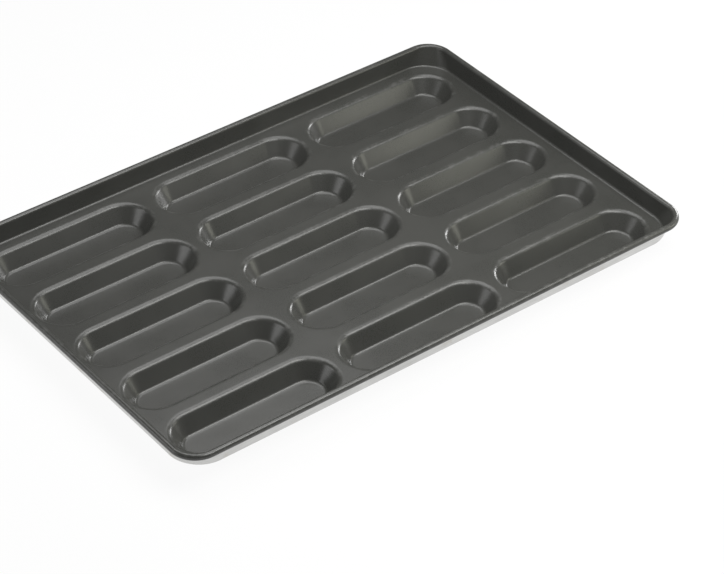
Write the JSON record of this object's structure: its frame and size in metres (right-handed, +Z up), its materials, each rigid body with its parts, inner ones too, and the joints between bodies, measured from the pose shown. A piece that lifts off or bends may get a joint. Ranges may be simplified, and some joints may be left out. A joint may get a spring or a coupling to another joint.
{
  "type": "baguette tray",
  "caption": "Flat rectangular baking tray pressed from coated steel sheet, with rows of long round-ended moulds and a raised rim rolled over a wire.",
  "frame": {"origin": "on the resting surface, under the centre of the tray", "axes": "+X along the tray's length and along each mould, +Y across the rows, +Z up out of the moulds"},
  "size_m": [0.6, 0.4, 0.0405],
  "materials": {
    "coated_sheet": "dark grey baked non-stick release coating, satin, on steel sheet",
    "wire_steel": "drawn galvanised steel wire, dull"
  },
  "bodies": {
    "root": {"deck_sheet": "coated_sheet", "rolled_rim": "coated_sheet", "rim_wire": "wire_steel", "mould_row1_column1": "coated_sheet", "mould_row1_column2": "coated_sheet", "mould_row1_column3": "coated_sheet", "mould_row2_column1": "coated_sheet", "mould_row2_column2": "coated_sheet", "mould_row2_column3": "coated_sheet", "mould_row3_column1": "coated_sheet", "mould_row3_column2": "coated_sheet", "mould_row3_column3": "coated_sheet", "mould_row4_column1": "coated_sheet", "mould_row4_column2": "coated_sheet", "mould_row4_column3": "coated_sheet", "mould_row5_column1": "coated_sheet", "mould_row5_column2": "coated_sheet", "mould_row5_column3": "coated_sheet"}
  },
  "joints": []
}
